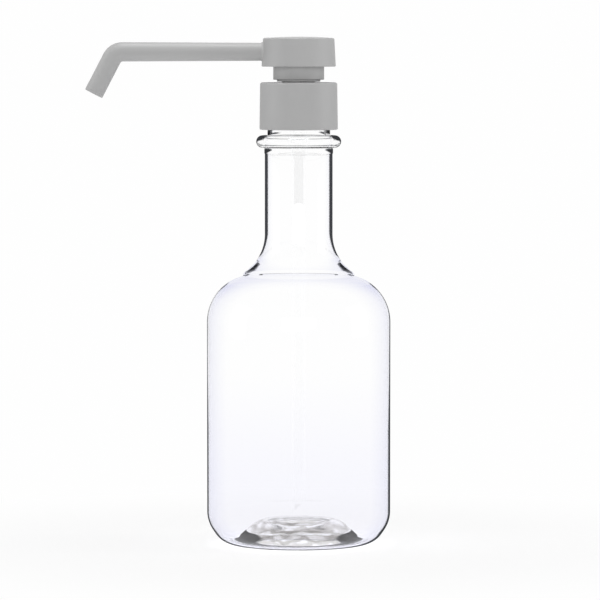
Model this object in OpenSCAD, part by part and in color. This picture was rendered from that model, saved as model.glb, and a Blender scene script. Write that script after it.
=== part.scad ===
// Clear plastic bottle with a lotion pump, shown with the pump pushed down and locked.
// Units are millimetres. The origin is on the bottle's axis at the table, +Z is up,
// and the spout points along -X.

/* [Part] */
// Which piece to draw

/* [Bottle] */
// Outside diameter of the body
body_d = 77.5; // [72:0.5:84]
// Height of the top of the straight wall
wall_top = 93.3; // [75:1:120]
// Radius of the heel where the wall turns in
heel_r = 13.7; // [12.5:0.1:15]
// Radius of the round under the heel that ends on the table
foot_r = 9.9; // [9:0.1:10.5]
// How much further out the centre of that round lies than the heel's
foot_out = 2; // [1.6:0.1:3]
// Width of the flat ring that the bottle stands on
stand_w = 3; // [2:0.1:4]
// Height of the hollow pushed up into the base
push_up = 9.5; // [7:0.5:12]
// Wall thickness of the body
body_wall = 0.9; // [0.7:0.1:1.2]
// Thickness of the base
base_wall = 1.6; // [1.2:0.1:2.2]
// Radius of the shoulder
shoulder_r = 20; // [17:0.5:22]
// Radius of the small step at the foot of the neck
step_r = 23.3; // [22:0.1:25]
// Height of that step
step_h = 1.2; // [1:0.1:2]
// Radius of the curve from the step up to the neck
flare_r = 19.2; // [17:0.1:22]
// Outside diameter of the neck
neck_d = 28.4; // [28:0.1:29.4]
// Wall thickness of the neck
neck_wall = 1.5; // [1.2:0.1:1.8]
// Length of the straight neck under the bead
neck_len = 33.78; // [25:0.01:45]
// Outside diameter of the bead
bead_d = 35.6; // [34.6:0.2:37]
// Height of the bead
bead_h = 5.15; // [4.4:0.05:5.8]
// Outside diameter of the mouth under the screw thread
finish_d = 26.4; // [26:0.1:27]
// Inside diameter of the mouth
mouth_d = 22; // [21.4:0.1:23]
// Height of the mouth above the bead
finish_h = 17.9; // [16.5:0.1:20]

/* [Cap] */
// Outside diameter at the bottom of the cap
cap_d = 32.86; // [32.2:0.02:34]
// How much narrower the cap is at its top
cap_draft = 0.54; // [0.2:0.02:0.8]
// Thickness of the cap's top
cap_top = 2; // [1.6:0.1:2.4]
// Height of the open gap between the bead and the cap
cap_rise = 2.35; // [1.5:0.05:3]
// Radius of the cap's edges
cap_edge = 0.7; // [0.4:0.1:0.9]

/* [Pump] */
// Travel of the pump
stroke = 8; // [6.5:0.5:8]
// Inside diameter of the pump's cylinder
bore_d = 14; // [13:0.2:14.2]
// Wall thickness of the cylinder
housing_wall = 1.2; // [1:0.1:1.4]
// Thickness of the flange that hangs on the bottle's rim
flange_t = 0.8; // [0.7:0.1:1.2]
// Thickness of the gasket
gasket_t = 0.9; // [0.7:0.1:1.2]
// Height of the piston
piston_h = 4.2; // [3.6:0.1:4.2]
// Way that the piston can slip on the valve pin
slip = 1.1; // [0.8:0.1:1.2]
// Outside diameter of the stem
stem_d = 6.4; // [6:0.1:6.8]
// Bore of the stem
stem_bore = 3.8; // [3.2:0.1:4]
// Diameter of the inlet ball
ball_d = 4; // [3.6:0.1:4.2]
// Outside diameter of the dip tube
tube_d = 5.6; // [5:0.1:6]
// Bore of the dip tube
tube_bore = 4; // [3.4:0.1:4.2]
// Diameter of the spring's wire
wire_d = 0.8; // [0.6:0.05:0.85]
// Turns of the spring
spring_turns = 5; // [4:1:5]
// Outside diameter of the lock collar
collar_d = 18.26; // [18:0.02:18.6]
// Height of the lock collar's wall inside the skirt
collar_h = 4; // [3:0.1:4.4]

/* [Head] */
// Outside diameter of the skirt
skirt_d = 21.34; // [21.3:0.02:22.4]
// Height of the skirt below the head
skirt_h = 5.45; // [5:0.05:5.8]
// Diameter of the head at its lower edge
head_d = 31.06; // [30:0.02:33]
// How much narrower the head is at its top
head_draft = 1.1; // [0.6:0.01:1.6]
// Height of the head's side
head_h = 12; // [11.9:0.1:13]
// How far the head's top rises towards its middle
head_dome = 0.5; // [0.2:0.1:0.9]
// Wall thickness of the head
head_wall = 1.4; // [1.2:0.1:1.8]

/* [Spout] */
// Outside diameter of the spout at the bend
spout_d = 8.16; // [7.8:0.02:8.4]
// Outside diameter of the spout in the head's socket
spout_root_d = 7.56; // [7.2:0.02:7.7]
// Bore of the spout
spout_bore = 5.2; // [4.4:0.1:5.4]
// Distance from the pump's axis to the middle of the tip
spout_reach = 85.9; // [65:0.1:110]
// Drop from the spout's axis to the middle of the tip
spout_drop = 17.5; // [14:0.1:22]
// Angle that the spout turns down
spout_angle = 62.5; // [50:0.1:80]
// Bend radius of the spout's centre line
spout_bend = 5; // [4.8:0.1:6]

/* [Hidden] */
$fn = 96;
// Clearances
gap = 0.3;
guide_fit = 0.1;
piston_fit = 0.05;
cut = 1;
// Bottle
body_r = body_d / 2;
neck_r = neck_d / 2;
heel_c = [body_r - heel_r, heel_r];
foot_c = [body_r - heel_r + foot_out, foot_r];
stand_in = foot_c[0] - stand_w;
tangent_len = norm(foot_c - heel_c);
tangent_turn = acos((heel_r - foot_r) / tangent_len) + atan2(foot_c[1] - heel_c[1], foot_c[0] - heel_c[0]);
tangent = [cos(tangent_turn), sin(tangent_turn)];
dome_r = (stand_in * stand_in + push_up * push_up) / (2 * push_up);
dome_z = push_up - dome_r;
floor_z = 1.2;
step_wall = 1;
shoulder_c = [body_r - shoulder_r, wall_top];
step_z = wall_top + sqrt(pow(shoulder_r, 2) - pow(step_r - shoulder_c[0], 2));
flare_c = [neck_r + flare_r, step_z + step_h + sqrt(pow(flare_r, 2) - pow(neck_r + flare_r - step_r, 2))];
neck_top = flare_c[1] + neck_len;
lip_h = 2.1;
lip_out = 0.2;
lip_gap = 0.35;
bead_z = neck_top + lip_h + lip_gap + bead_h / 2;
bead_top = bead_z + bead_h / 2;
finish_r = finish_d / 2;
mouth_r = mouth_d / 2;
rim_z = bead_top + finish_h;
// Stack of the pump on the rim
gasket_z = rim_z + gap;
gasket_in = 1.2;
flange_z = gasket_z + gasket_t;
flange_in = 0.2;
cap_in_z = flange_z + flange_t + gap;
cap_top_z = cap_in_z + cap_top;
cap_z = bead_top + cap_rise;
cap_r = cap_d / 2;
cap_r_top = cap_r - cap_draft / 2;
thread_room = 1.4;
cap_in_r = finish_r + thread_room;
// Pump
bore_r = bore_d / 2;
housing_r = bore_r + housing_wall;
collar_z = cap_top_z + gap;
collar_floor = 1;
seat_z = collar_z + collar_floor;
collar_r = collar_d / 2;
collar_wall = 1.2;
collar_in_r = collar_r - collar_wall;
guide_h = 3.7;
guide_open = 2;
stop_z = collar_z - guide_h;
piston_top = stop_z - gap - stroke;
piston_z = piston_top - piston_h;
pin_gap = slip + gap;
pin_head_t = 1;
pin_z = piston_z - pin_gap - pin_head_t;
cyl_floor_z = pin_z - gap;
floor_t = 1.2;
stem_r = stem_d / 2;
pin_r = 1.5;
pin_room = 0.7;
pin_over = 1.8;
pin_root = 6;
slot_w = 0.8;
slot_in = 0.4;
piston_hole_r = pin_r + pin_room;
piston_lip = 0.9;
piston_waist = 0.7;
piston_hub = 1.6;
piston_rim = 1.3;
piston_groove = 1.1;
stem_z = piston_top + gap;
ball_r = ball_d / 2;
seat_hole_r = ball_r * 0.75;
ball_room_r = ball_r + 0.4;
ball_room_h = ball_d + 0.2;
ball_room_z = cyl_floor_z - floor_t - ball_room_h;
ball_z = ball_room_z + sqrt(pow(ball_r, 2) - pow(seat_hole_r, 2)) + 0.15;
socket_len = 5.5;
socket_wall = 1.1;
socket_step = 0.4;
socket_up = 0.9;
tube_r = tube_d / 2;
socket_top = ball_room_z - socket_up;
socket_z = socket_top - socket_len;
tube_gap = 1.5;
tube_z = push_up + base_wall + tube_gap;
// Head
skirt_z = seat_z - 0.2;
head_z = skirt_z + skirt_h;
skirt_r = skirt_d / 2;
skirt_in_r = collar_r + 0.37;
head_r = head_d / 2;
head_r_top = head_r - head_draft / 2;
head_edge = 0.7;
spring_room = 6;
spring_top = seat_z + spring_room;
spring_in = 2.3;
spring_r = stem_r + spring_in;
spring_end = 0.1;
plate_t = 1.4;
roof_in = 0.5;
boss_h = 3.2;
boss_up = 0.8;
boss_wall = 1.3;
side_top = head_z + head_h;
spout_rise = 5.45;
spout_z = spring_top + spout_rise;
socket_r = 5.2;
socket_back = 4.6;
channel_r = 2.4;
stem_top = spout_z - channel_r - 0.2;
spout_r = spout_d / 2;
root_r = spout_root_d / 2;
root_x = 15.5;
root_end = 4;
hub_r = 1.2;
hub_in = 0.1;
hub_sink = 0.6;
tip_len = spout_drop / sin(spout_angle);
corner_x = spout_reach - tip_len * cos(spout_angle);
bend_len = spout_bend * tan(spout_angle / 2);
bend_x = corner_x - bend_len;
lap = 0.3;
lap_step = 0.03;

// Half section of a round block with a straight or tapering side and rounded outer corners
module block_section(r0, r1, z0, z1, e0, e1) {
    polygon([[0, z0], [r0 - e0, z0], [r0, z0 + e0], [r1, z1 - e1], [r1 - e1, z1], [0, z1]]);
    translate([r0 - e0, z0 + e0]) circle(r = e0);
    translate([r1 - e1, z1 - e1]) circle(r = e1);
}

// Half section of the bottle's base and wall; grow is how far it lies inside the skin
module body_section(grow) {
    translate(heel_c) circle(r = heel_r - grow);
    translate(foot_c) circle(r = foot_r - grow);
    polygon([
        [0, grow],
        [foot_c[0], grow],
        foot_c,
        foot_c + (foot_r - grow) * tangent,
        heel_c + (heel_r - grow) * tangent,
        heel_c,
        [body_r - grow, heel_r],
        [body_r - grow, wall_top],
        [0, wall_top]
    ]);
    translate([0, wall_top - cut]) square([shoulder_c[0], shoulder_r - grow + cut]);
    intersection() {
        translate(shoulder_c) circle(r = shoulder_r - grow);
        translate([0, wall_top - cut]) square([body_r - grow, shoulder_r + cut]);
    }
}

// Half section of the foot of the neck; wall is how far it lies inside the skin
module flare_section(wall, rim) {
    difference() {
        translate([0, wall_top]) square([step_r - rim, flare_c[1] - wall_top]);
        translate(flare_c) circle(r = flare_r + wall);
    }
}

module bottle() {
    color([0.88, 0.92, 0.97, 0.35])
    rotate_extrude()
    difference() {
        union() {
            body_section(0);
            flare_section(0, 0);
            translate([0, flare_c[1] - cut]) square([neck_r, neck_len + cut]);
            translate([0, neck_top]) square([neck_r + lip_out, lip_h]);
            translate([0, neck_top + lip_h - cut]) square([neck_r, bead_z - neck_top - lip_h + cut]);
            translate([0, bead_z - bead_h / 2]) square([bead_d / 2 - bead_h / 2, bead_h]);
            translate([bead_d / 2 - bead_h / 2, bead_z]) circle(r = bead_h / 2);
            translate([0, bead_z]) square([finish_r, rim_z - bead_z]);
        }
        difference() {
            union() {
                body_section(body_wall);
                flare_section(neck_wall, step_wall);
                translate([0, flare_c[1] - cut]) square([neck_r - neck_wall, bead_z - bead_h / 2 - flare_c[1] + cut]);
                polygon([
                    [0, bead_z - bead_h / 2 - cut],
                    [neck_r - neck_wall, bead_z - bead_h / 2 - cut],
                    [neck_r - neck_wall, bead_z - bead_h / 2],
                    [mouth_r, bead_top],
                    [0, bead_top]
                ]);
                translate([0, bead_top - cut]) square([mouth_r, finish_h + 2 * cut]);
            }
            square([body_r, floor_z]);
            intersection() {
                translate([0, dome_z]) circle(r = dome_r + base_wall);
                square([body_r, push_up + base_wall + cut]);
            }
        }
        intersection() {
            translate([0, dome_z]) circle(r = dome_r);
            translate([0, -cut]) square([stand_in + cut, push_up + 2 * cut]);
        }
    }
}

module cap() {
    color([0.66, 0.66, 0.66])
    rotate_extrude()
    difference() {
        block_section(cap_r, cap_r_top, cap_z, cap_top_z, cap_edge, cap_edge);
        translate([0, cap_z - cut]) square([cap_in_r, cap_in_z - cap_z + cut]);
        translate([0, cap_in_z - cut]) square([housing_r + gap, cap_top + 2 * cut]);
    }
}

module neck_gasket() {
    color([0.94, 0.94, 0.92])
    translate([0, 0, gasket_z])
    difference() {
        cylinder(h = gasket_t, r = finish_r);
        translate([0, 0, -cut]) cylinder(h = gasket_t + 2 * cut, r = housing_r + gasket_in);
    }
}

module pump_housing() {
    color([0.9, 0.92, 0.95, 0.4])
    rotate_extrude()
    difference() {
        union() {
            translate([0, cyl_floor_z - floor_t]) square([housing_r, collar_z - cyl_floor_z + floor_t]);
            translate([0, flange_z]) square([finish_r - flange_in, flange_t]);
            translate([0, socket_z + cut]) square([ball_room_r + housing_wall, cyl_floor_z - socket_z - cut]);
            translate([0, socket_z]) square([tube_r + socket_wall, socket_len + socket_step]);
        }
        translate([0, cyl_floor_z]) square([bore_r, collar_z - cyl_floor_z + cut]);
        translate([0, ball_room_z]) square([ball_room_r, ball_room_h]);
        square([seat_hole_r, rim_z]);
        translate([0, socket_z - cut]) square([tube_r, socket_len + cut]);
    }
}

module lock_collar() {
    color([0.62, 0.62, 0.62])
    rotate_extrude()
    difference() {
        union() {
            block_section(collar_r, collar_r, collar_z, seat_z + collar_h, 0.2, 0.4);
            translate([0, stop_z]) square([bore_r, collar_z - stop_z + cut / 2]);
        }
        translate([0, seat_z]) square([collar_in_r, collar_h + cut]);
        translate([0, stop_z - cut]) square([stem_r + guide_open, collar_z - stop_z + cut]);
        square([stem_r + guide_fit, seat_z + cut]);
    }
}

module dip_tube() {
    color([0.9, 0.92, 0.95, 0.35])
    difference() {
        translate([0, 0, tube_z]) cylinder(h = socket_top - tube_z, r = tube_r);
        translate([0, 0, tube_z - cut]) cylinder(h = socket_top - tube_z + 2 * cut, r = tube_bore / 2);
        translate([-tube_r, 0, tube_z])
        rotate([0, -45, 0])
        translate([0, -tube_d, -3 * tube_d])
        cube([3 * tube_d, 2 * tube_d, 3 * tube_d]);
    }
}

module inlet_ball() {
    color([0.93, 0.95, 0.96, 0.4])
    translate([0, 0, ball_z]) sphere(r = ball_r);
}

module piston() {
    color([0.93, 0.93, 0.9])
    translate([0, 0, piston_z])
    rotate_extrude()
    difference() {
        square([bore_r - piston_fit, piston_h]);
        translate([0, -cut]) square([piston_hole_r, piston_h + 2 * cut]);
        translate([bore_r - piston_waist, piston_lip]) square([cut, piston_h - 2 * piston_lip]);
        translate([piston_hole_r + piston_hub, piston_h - piston_groove])
        square([bore_r - piston_hole_r - piston_hub - piston_rim, piston_groove + cut]);
        translate([piston_hole_r + piston_hub + pin_head_t, -cut])
        square([bore_r - piston_hole_r - piston_hub - pin_head_t - piston_rim, piston_groove + cut]);
    }
}

module valve_pin() {
    color([0.9, 0.9, 0.88])
    difference() {
        union() {
            translate([0, 0, pin_z]) cylinder(h = pin_head_t, r = piston_hole_r + pin_over);
            translate([0, 0, pin_z]) cylinder(h = stem_z - pin_z + 0.5, r = pin_r);
            translate([0, 0, stem_z + slot_in / 2]) cylinder(h = pin_root, r = stem_bore / 2);
        }
        for (a = [0:90:270])
            rotate([0, 0, a])
            translate([pin_r - slot_in, -slot_w / 2, stem_z])
            cube([stem_bore / 2, slot_w, pin_root + cut]);
    }
}

module stem() {
    color([0.9, 0.9, 0.88])
    difference() {
        translate([0, 0, stem_z]) cylinder(h = stem_top - stem_z, r = stem_r);
        translate([0, 0, stem_z - cut]) cylinder(h = stem_top - stem_z + 2 * cut, r = stem_bore / 2);
    }
}

// Coil made of rings of points along a helix
module coil(r, wire_r, z0, z1, turns, steps, sides) {
    n = turns * steps;
    rings = [for (i = [0:n], j = [0:sides - 1])
        let (a = 360 * i / steps, b = 360 * j / sides, q = r + wire_r * cos(b))
        [q * cos(a), q * sin(a), z0 + wire_r + (z1 - z0 - 2 * wire_r) * i / n + wire_r * sin(b)]];
    walls = [for (i = [0:n - 1], j = [0:sides - 1])
        [i * sides + j, i * sides + (j + 1) % sides, (i + 1) * sides + (j + 1) % sides, (i + 1) * sides + j]];
    first = [for (j = [0:sides - 1]) sides - 1 - j];
    last = [for (j = [0:sides - 1]) n * sides + j];
    polyhedron(points = rings, faces = concat(walls, [first], [last]), convexity = 10);
}

module return_spring() {
    color([0.75, 0.75, 0.78])
    coil(spring_r, wire_d / 2, seat_z + spring_end, spring_top - spring_end, spring_turns, 32, 8);
}

module head() {
    color([0.67, 0.67, 0.67])
    difference() {
        union() {
            rotate_extrude()
            difference() {
                union() {
                    block_section(head_r, head_r_top, head_z, side_top, 0.4, head_edge);
                    intersection() {
                        dome_cap_r = (pow(head_r_top - head_edge, 2) + pow(head_dome, 2)) / (2 * head_dome);
                        translate([0, side_top + head_dome - dome_cap_r]) circle(r = dome_cap_r);
                        translate([0, side_top - cut]) square([head_r_top - head_edge, head_dome + 2 * cut]);
                    }
                    block_section(skirt_r, skirt_r, skirt_z, head_z + cut, 0.3, 0.3);
                }
                translate([skirt_r, head_z - cut]) square([head_r_top - head_wall - skirt_r, head_h - plate_t + cut]);
                translate([0, skirt_z - cut]) square([skirt_in_r, side_top - plate_t - skirt_z + cut]);
            }
            intersection() {
                cylinder(h = side_top - roof_in, r = head_r - head_wall / 2);
                union() {
                    translate([0, 0, spring_top])
                    cylinder(h = side_top - spring_top - roof_in, r = spring_r + boss_up);
                    translate([socket_back, 0, spout_z])
                    rotate([0, -90, 0])
                    cylinder(h = head_r + socket_back, r = socket_r);
                }
            }
            translate([0, 0, spring_top - boss_h]) cylinder(h = boss_h + boss_up, r = stem_r + boss_wall);
            translate([-head_r_top + hub_sink, 0, spout_z])
            rotate([0, -90, 0])
            rotate_extrude()
            difference() {
                square([root_r + hub_r - hub_in, hub_r + 0.1]);
                translate([root_r + hub_r + 0.15, hub_r + 0.15]) circle(r = hub_r);
            }
        }
        translate([0, 0, spring_top - boss_h - cut])
        cylinder(h = stem_top - spring_top + boss_h + cut, r = stem_r);
        translate([0, 0, spring_top]) cylinder(h = spout_z - spring_top, r = stem_bore / 2);
        translate([stem_bore / 2, 0, spout_z])
        rotate([0, -90, 0])
        cylinder(h = stem_bore / 2 + root_end + cut, r = channel_r);
        translate([-root_end, 0, spout_z]) rotate([0, -90, 0]) cylinder(h = head_r, r = root_r);
    }
}

// Run of the spout as a bar from its root to its tip; over is how far it runs past both ends
module spout_bar(root, main, over) {
    translate([-root_end + over, 0, spout_z])
    rotate([0, -90, 0])
    cylinder(h = root_x - root_end + over, r = root);
    translate([-root_x, 0, spout_z])
    rotate([0, -90, 0])
    cylinder(h = bend_x - root_x + lap, r1 = root, r2 = main - lap_step);
    translate([-bend_x, 0, spout_z - spout_bend])
    rotate([90, 0, 0])
    rotate([0, 0, 90])
    rotate_extrude(angle = spout_angle)
    translate([spout_bend, 0])
    circle(r = main);
    translate([-corner_x, 0, spout_z])
    rotate([0, 270 - spout_angle, 0])
    translate([0, 0, bend_len - lap])
    cylinder(h = tip_len - bend_len + lap + over, r = main - lap_step);
}

module spout_tube() {
    color([0.67, 0.67, 0.67])
    difference() {
        spout_bar(root_r, spout_r, 0);
        spout_bar(spout_bore / 2, spout_bore / 2, cut);
    }
}

bottle();
cap();
neck_gasket();
pump_housing();
lock_collar();
dip_tube();
inlet_ball();
piston();
valve_pin();
stem();
return_spring();
head();
spout_tube();
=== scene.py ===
# %% [markdown]
# # A clear bottle with a grey lotion pump
#
# This notebook dresses a pump bottle that already exists as a working model: its pieces, sizes
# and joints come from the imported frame. Here each visible piece gets its final shape and finish.
#
# The bottle is blown from clear plastic, so what we see of it is mostly its edges. The cap, the
# head and the spout are moulded in one matte grey. The cells go from the camera to the light,
# then piece by piece from the table upwards.

# %% Load the frame
import bpy
from math import acos, asin, atan2, cos, degrees, hypot, pi, radians, sin, sqrt, tan

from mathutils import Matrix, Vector


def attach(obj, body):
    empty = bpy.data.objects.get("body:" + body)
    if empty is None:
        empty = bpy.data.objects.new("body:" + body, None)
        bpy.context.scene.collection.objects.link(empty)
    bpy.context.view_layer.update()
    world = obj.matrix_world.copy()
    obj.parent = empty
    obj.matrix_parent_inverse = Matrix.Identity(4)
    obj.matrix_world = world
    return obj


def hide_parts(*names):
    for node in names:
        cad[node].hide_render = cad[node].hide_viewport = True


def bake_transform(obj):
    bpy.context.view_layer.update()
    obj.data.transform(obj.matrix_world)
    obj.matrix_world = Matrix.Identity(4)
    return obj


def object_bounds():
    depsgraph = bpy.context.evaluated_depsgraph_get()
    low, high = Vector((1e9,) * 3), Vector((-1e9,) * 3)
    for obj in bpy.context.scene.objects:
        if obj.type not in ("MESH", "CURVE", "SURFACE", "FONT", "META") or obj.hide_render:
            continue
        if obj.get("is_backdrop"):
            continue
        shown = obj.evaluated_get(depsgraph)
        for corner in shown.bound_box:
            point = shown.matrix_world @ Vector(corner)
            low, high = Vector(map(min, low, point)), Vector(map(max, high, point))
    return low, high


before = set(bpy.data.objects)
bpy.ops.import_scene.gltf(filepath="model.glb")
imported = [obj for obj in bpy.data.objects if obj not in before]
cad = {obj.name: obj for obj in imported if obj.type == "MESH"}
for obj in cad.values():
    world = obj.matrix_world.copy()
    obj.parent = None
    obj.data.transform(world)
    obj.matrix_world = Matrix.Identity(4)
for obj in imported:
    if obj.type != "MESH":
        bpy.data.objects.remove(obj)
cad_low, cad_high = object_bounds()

MM = 0.001
print("nodes in the frame:", sorted(cad))

# %% [markdown]
# ## Where we look from
#
# The camera has a long lens and stands level with the spout, and its view dips by three degrees.
# A long lens keeps the bottle's sides parallel. The distance sets how round the foot and the
# bead look: we see a little of the top of each, and nothing of the underside.

# %% Camera
lens_pixels = 4300.0
picture_pixels = 600.0
eye_right, eye_front, eye_height, view_dip = 0.55, 1803.0, 206.55, 3.3008
camera_data = bpy.data.cameras.new("studio_camera")
camera_data.sensor_width = 36.0
camera_data.lens = 36.0 * lens_pixels / picture_pixels
camera_data.clip_end = 50.0
camera = bpy.data.objects.new("studio_camera", camera_data)
camera.location = (eye_right * MM, -eye_front * MM, eye_height * MM)
camera.rotation_euler = (radians(90 - view_dip), 0, 0)
bpy.context.scene.collection.objects.link(camera)
bpy.context.scene.camera = camera
print("lens", round(camera_data.lens, 1), "mm, camera", round(-camera.location.y, 3), "m in front")

# %% [markdown]
# ## A pencil for half sections
#
# Nearly every piece here is round. On the real line such a piece comes out of a turned mould, so
# we draw it the way a mould maker does: one half of its section, as radius and height, which is
# then spun round the axis. Arcs are drawn with their true centres, so that the light runs
# smoothly over them.

# %% Arcs and soft corners
def arc(centre, radius, start, end, steps=16):
    """Points on an arc of the section, from start to end in degrees."""
    turns = [radians(start + (end - start) * i / steps) for i in range(steps + 1)]
    return [(centre[0] + radius * cos(a), centre[1] + radius * sin(a)) for a in turns]


def soft(before, corner, after, reach, steps=5):
    """A corner that is rounded over a short reach on both sides."""
    def toward(p):
        far = hypot(p[0] - corner[0], p[1] - corner[1])
        t = min(1.0, reach / far)
        return (corner[0] + (p[0] - corner[0]) * t, corner[1] + (p[1] - corner[1]) * t)
    a, b = toward(before), toward(after)
    curve = []
    for i in range(steps + 1):
        t = i / steps
        first, middle, last = (1 - t) ** 2, 2 * t * (1 - t), t * t
        curve.append(tuple(a[k] * first + corner[k] * middle + b[k] * last for k in (0, 1)))
    return curve


print("a quarter arc has", len(arc((0, 0), 1, 0, 90)), "points")

# %% [markdown]
# ## Spinning the section
#
# A Screw modifier could spin the section too. We join the points ourselves, because then every
# face knows its place along the section, and the bottle's finishes go on by that place later.

# %% Put points and faces into the scene
def add_mesh(name, points, faces, sharp=40):
    """A smooth mesh from points in millimetres; edges over the sharp angle stay crisp."""
    mesh = bpy.data.meshes.new(name)
    mesh.from_pydata([(x * MM, y * MM, z * MM) for x, y, z in points], [], faces)
    mesh.validate()
    mesh.polygons.foreach_set("use_smooth", [True] * len(mesh.polygons))
    mesh.set_sharp_from_angle(angle=radians(sharp))
    piece = bpy.data.objects.new(name, mesh)
    bpy.context.scene.collection.objects.link(piece)
    return piece

# %% Spin a section
def spin(name, section, around=192, closed=True, sharp=40):
    """Turns a half section round the Z axis. Points on the axis become one point."""
    points, rings = [], []
    for r, z in section:
        if r < 1e-6:
            rings.append([len(points)] * around)
            points.append((0, 0, z))
        else:
            rings.append(list(range(len(points), len(points) + around)))
            for k in range(around):
                a = 2 * pi * k / around
                points.append((r * cos(a), r * sin(a), z))
    faces = []
    following = rings[1:] + rings[:1] if closed else rings[1:]
    for low, high in zip(rings, following):
        for k in range(around):
            n = (k + 1) % around
            corner = []
            for v in (low[k], low[n], high[n], high[k]):
                if v not in corner:
                    corner.append(v)
            if len(corner) > 2:
                faces.append(corner)
    return add_mesh(name, points, faces, sharp)

# %% [markdown]
# ## Light for a pale, glossy subject
#
# Clear plastic shows whatever stands round it. A studio sets it against a bright white sweep and
# lights it through big soft boxes, so the middle of the bottle turns as white as the backdrop.
# We paint that backdrop into the world. Rays that look straight at it, or that reach it as a
# reflection or through the clear wall, see white. Rays that carry light see only a dim sky, so
# the white all round doesn't wash the pump out.

# %% White surroundings
world = bpy.data.worlds.new("white_studio")
world.use_nodes = True
bpy.context.scene.world = world
nodes, links = world.node_tree.nodes, world.node_tree.links
nodes.clear()
path = nodes.new("ShaderNodeLightPath")
seen = nodes.new("ShaderNodeBackground")
seen.inputs["Color"].default_value = (0.993, 0.993, 0.993, 1)
seen.inputs["Strength"].default_value = 1.0
lit = nodes.new("ShaderNodeBackground")
lit.inputs["Color"].default_value = (1, 1, 1, 1)
lit.inputs["Strength"].default_value = 0.06
glossy_too = nodes.new("ShaderNodeMath")
glossy_too.operation = "MAXIMUM"
clear_too = nodes.new("ShaderNodeMath")
clear_too.operation = "MAXIMUM"
choose = nodes.new("ShaderNodeMixShader")
sky = nodes.new("ShaderNodeOutputWorld")
links.new(path.outputs["Is Camera Ray"], glossy_too.inputs[0])
links.new(path.outputs["Is Glossy Ray"], glossy_too.inputs[1])
links.new(glossy_too.outputs[0], clear_too.inputs[0])
links.new(path.outputs["Is Transmission Ray"], clear_too.inputs[1])
links.new(clear_too.outputs[0], choose.inputs["Fac"])
links.new(lit.outputs[0], choose.inputs[1])
links.new(seen.outputs[0], choose.inputs[2])
links.new(choose.outputs[0], sky.inputs["Surface"])
bpy.context.scene.view_settings.view_transform = "Standard"
print("world:", world.name)

# %% [markdown]
# ## Soft boxes
#
# Four soft boxes stand round the bottle: a strong one over it, a wide one at the camera and a
# weaker one on each side. The grey pump is lit mostly from above, so the top of its spout is the
# lightest place. The right box is a little stronger than the left one. The boxes don't show
# through the clear wall, or they would hang in it as bright squares.

# %% Soft boxes
def soft_box(name, place, size, watts, aim):
    """A rectangular lamp that looks at a point."""
    data = bpy.data.lights.new(name, "AREA")
    data.shape = "RECTANGLE"
    data.size, data.size_y = size
    data.energy = watts
    lamp = bpy.data.objects.new(name, data)
    lamp.location = place
    lamp.rotation_euler = (aim - lamp.location).to_track_quat("-Z", "Y").to_euler()
    lamp.visible_transmission = False
    bpy.context.scene.collection.objects.link(lamp)
    return lamp


middle = Vector((0, 0, 0.12))
soft_box("top_box", (0.0, 0.0, 1.5), (0.5, 0.4), 15.0, middle)
soft_box("front_box", (0.0, -2.1, 0.32), (1.6, 1.0), 18.0, middle)
soft_box("right_box", (1.6, -0.2, 0.5), (0.8, 1.2), 9.6, middle)
soft_box("left_box", (-1.6, -0.2, 0.5), (0.8, 1.2), 8.4, middle)

# %% [markdown]
# ## The floor
#
# The floor is the same white as the backdrop, so that no horizon shows. Part of its brightness is
# its own glow and part is reflected light: only the second part can be shaded, which keeps the
# shadow under the bottle as faint as it is on real white acrylic. Away from the bottle the floor
# glows by itself and runs into the backdrop.

# %% A new material
def new_material(name):
    """An empty material with its nodes and links."""
    material = bpy.data.materials.new(name)
    material.use_nodes = True
    material.node_tree.nodes.clear()
    return material, material.node_tree.nodes, material.node_tree.links

# %% White floor
white_floor, nodes, links = new_material("white_acrylic_floor")
glow = nodes.new("ShaderNodeEmission")
glow.inputs["Color"].default_value = (1, 1, 1, 1)
glow.inputs["Strength"].default_value = 0.755
far_glow = nodes.new("ShaderNodeEmission")
far_glow.inputs["Color"].default_value = (0.993, 0.993, 0.993, 1)
place = nodes.new("ShaderNodeTexCoord")
from_bottle = nodes.new("ShaderNodeVectorMath")
from_bottle.operation = "LENGTH"
links.new(place.outputs["Object"], from_bottle.inputs[0])
sweep = nodes.new("ShaderNodeMapRange")
sweep.interpolation_type = "SMOOTHSTEP"
sweep.inputs["From Min"].default_value = 0.06
sweep.inputs["From Max"].default_value = 0.22
links.new(from_bottle.outputs["Value"], sweep.inputs["Value"])
paint = nodes.new("ShaderNodeBsdfDiffuse")
paint.inputs["Color"].default_value = (0.20, 0.20, 0.20, 1)
both = nodes.new("ShaderNodeAddShader")
out = nodes.new("ShaderNodeOutputMaterial")
links.new(glow.outputs[0], both.inputs[0])
links.new(paint.outputs[0], both.inputs[1])
fade = nodes.new("ShaderNodeMixShader")
links.new(sweep.outputs[0], fade.inputs["Fac"])
links.new(both.outputs[0], fade.inputs[1])
links.new(far_glow.outputs[0], fade.inputs[2])
links.new(fade.outputs[0], out.inputs["Surface"])

# %% Lay the floor
floor_mesh = bpy.data.meshes.new("floor")
half = 9.0
corners = [(-half, -half, 0), (half, -half, 0), (half, half, 0), (-half, half, 0)]
floor_mesh.from_pydata(corners, [], [(0, 1, 2, 3)])
floor = bpy.data.objects.new("floor", floor_mesh)
floor.location.z = -0.0002
bpy.context.scene.collection.objects.link(floor)
floor_mesh.materials.append(white_floor)
floor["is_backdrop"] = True
print("floor laid,", 2 * half, "m square")

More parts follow.
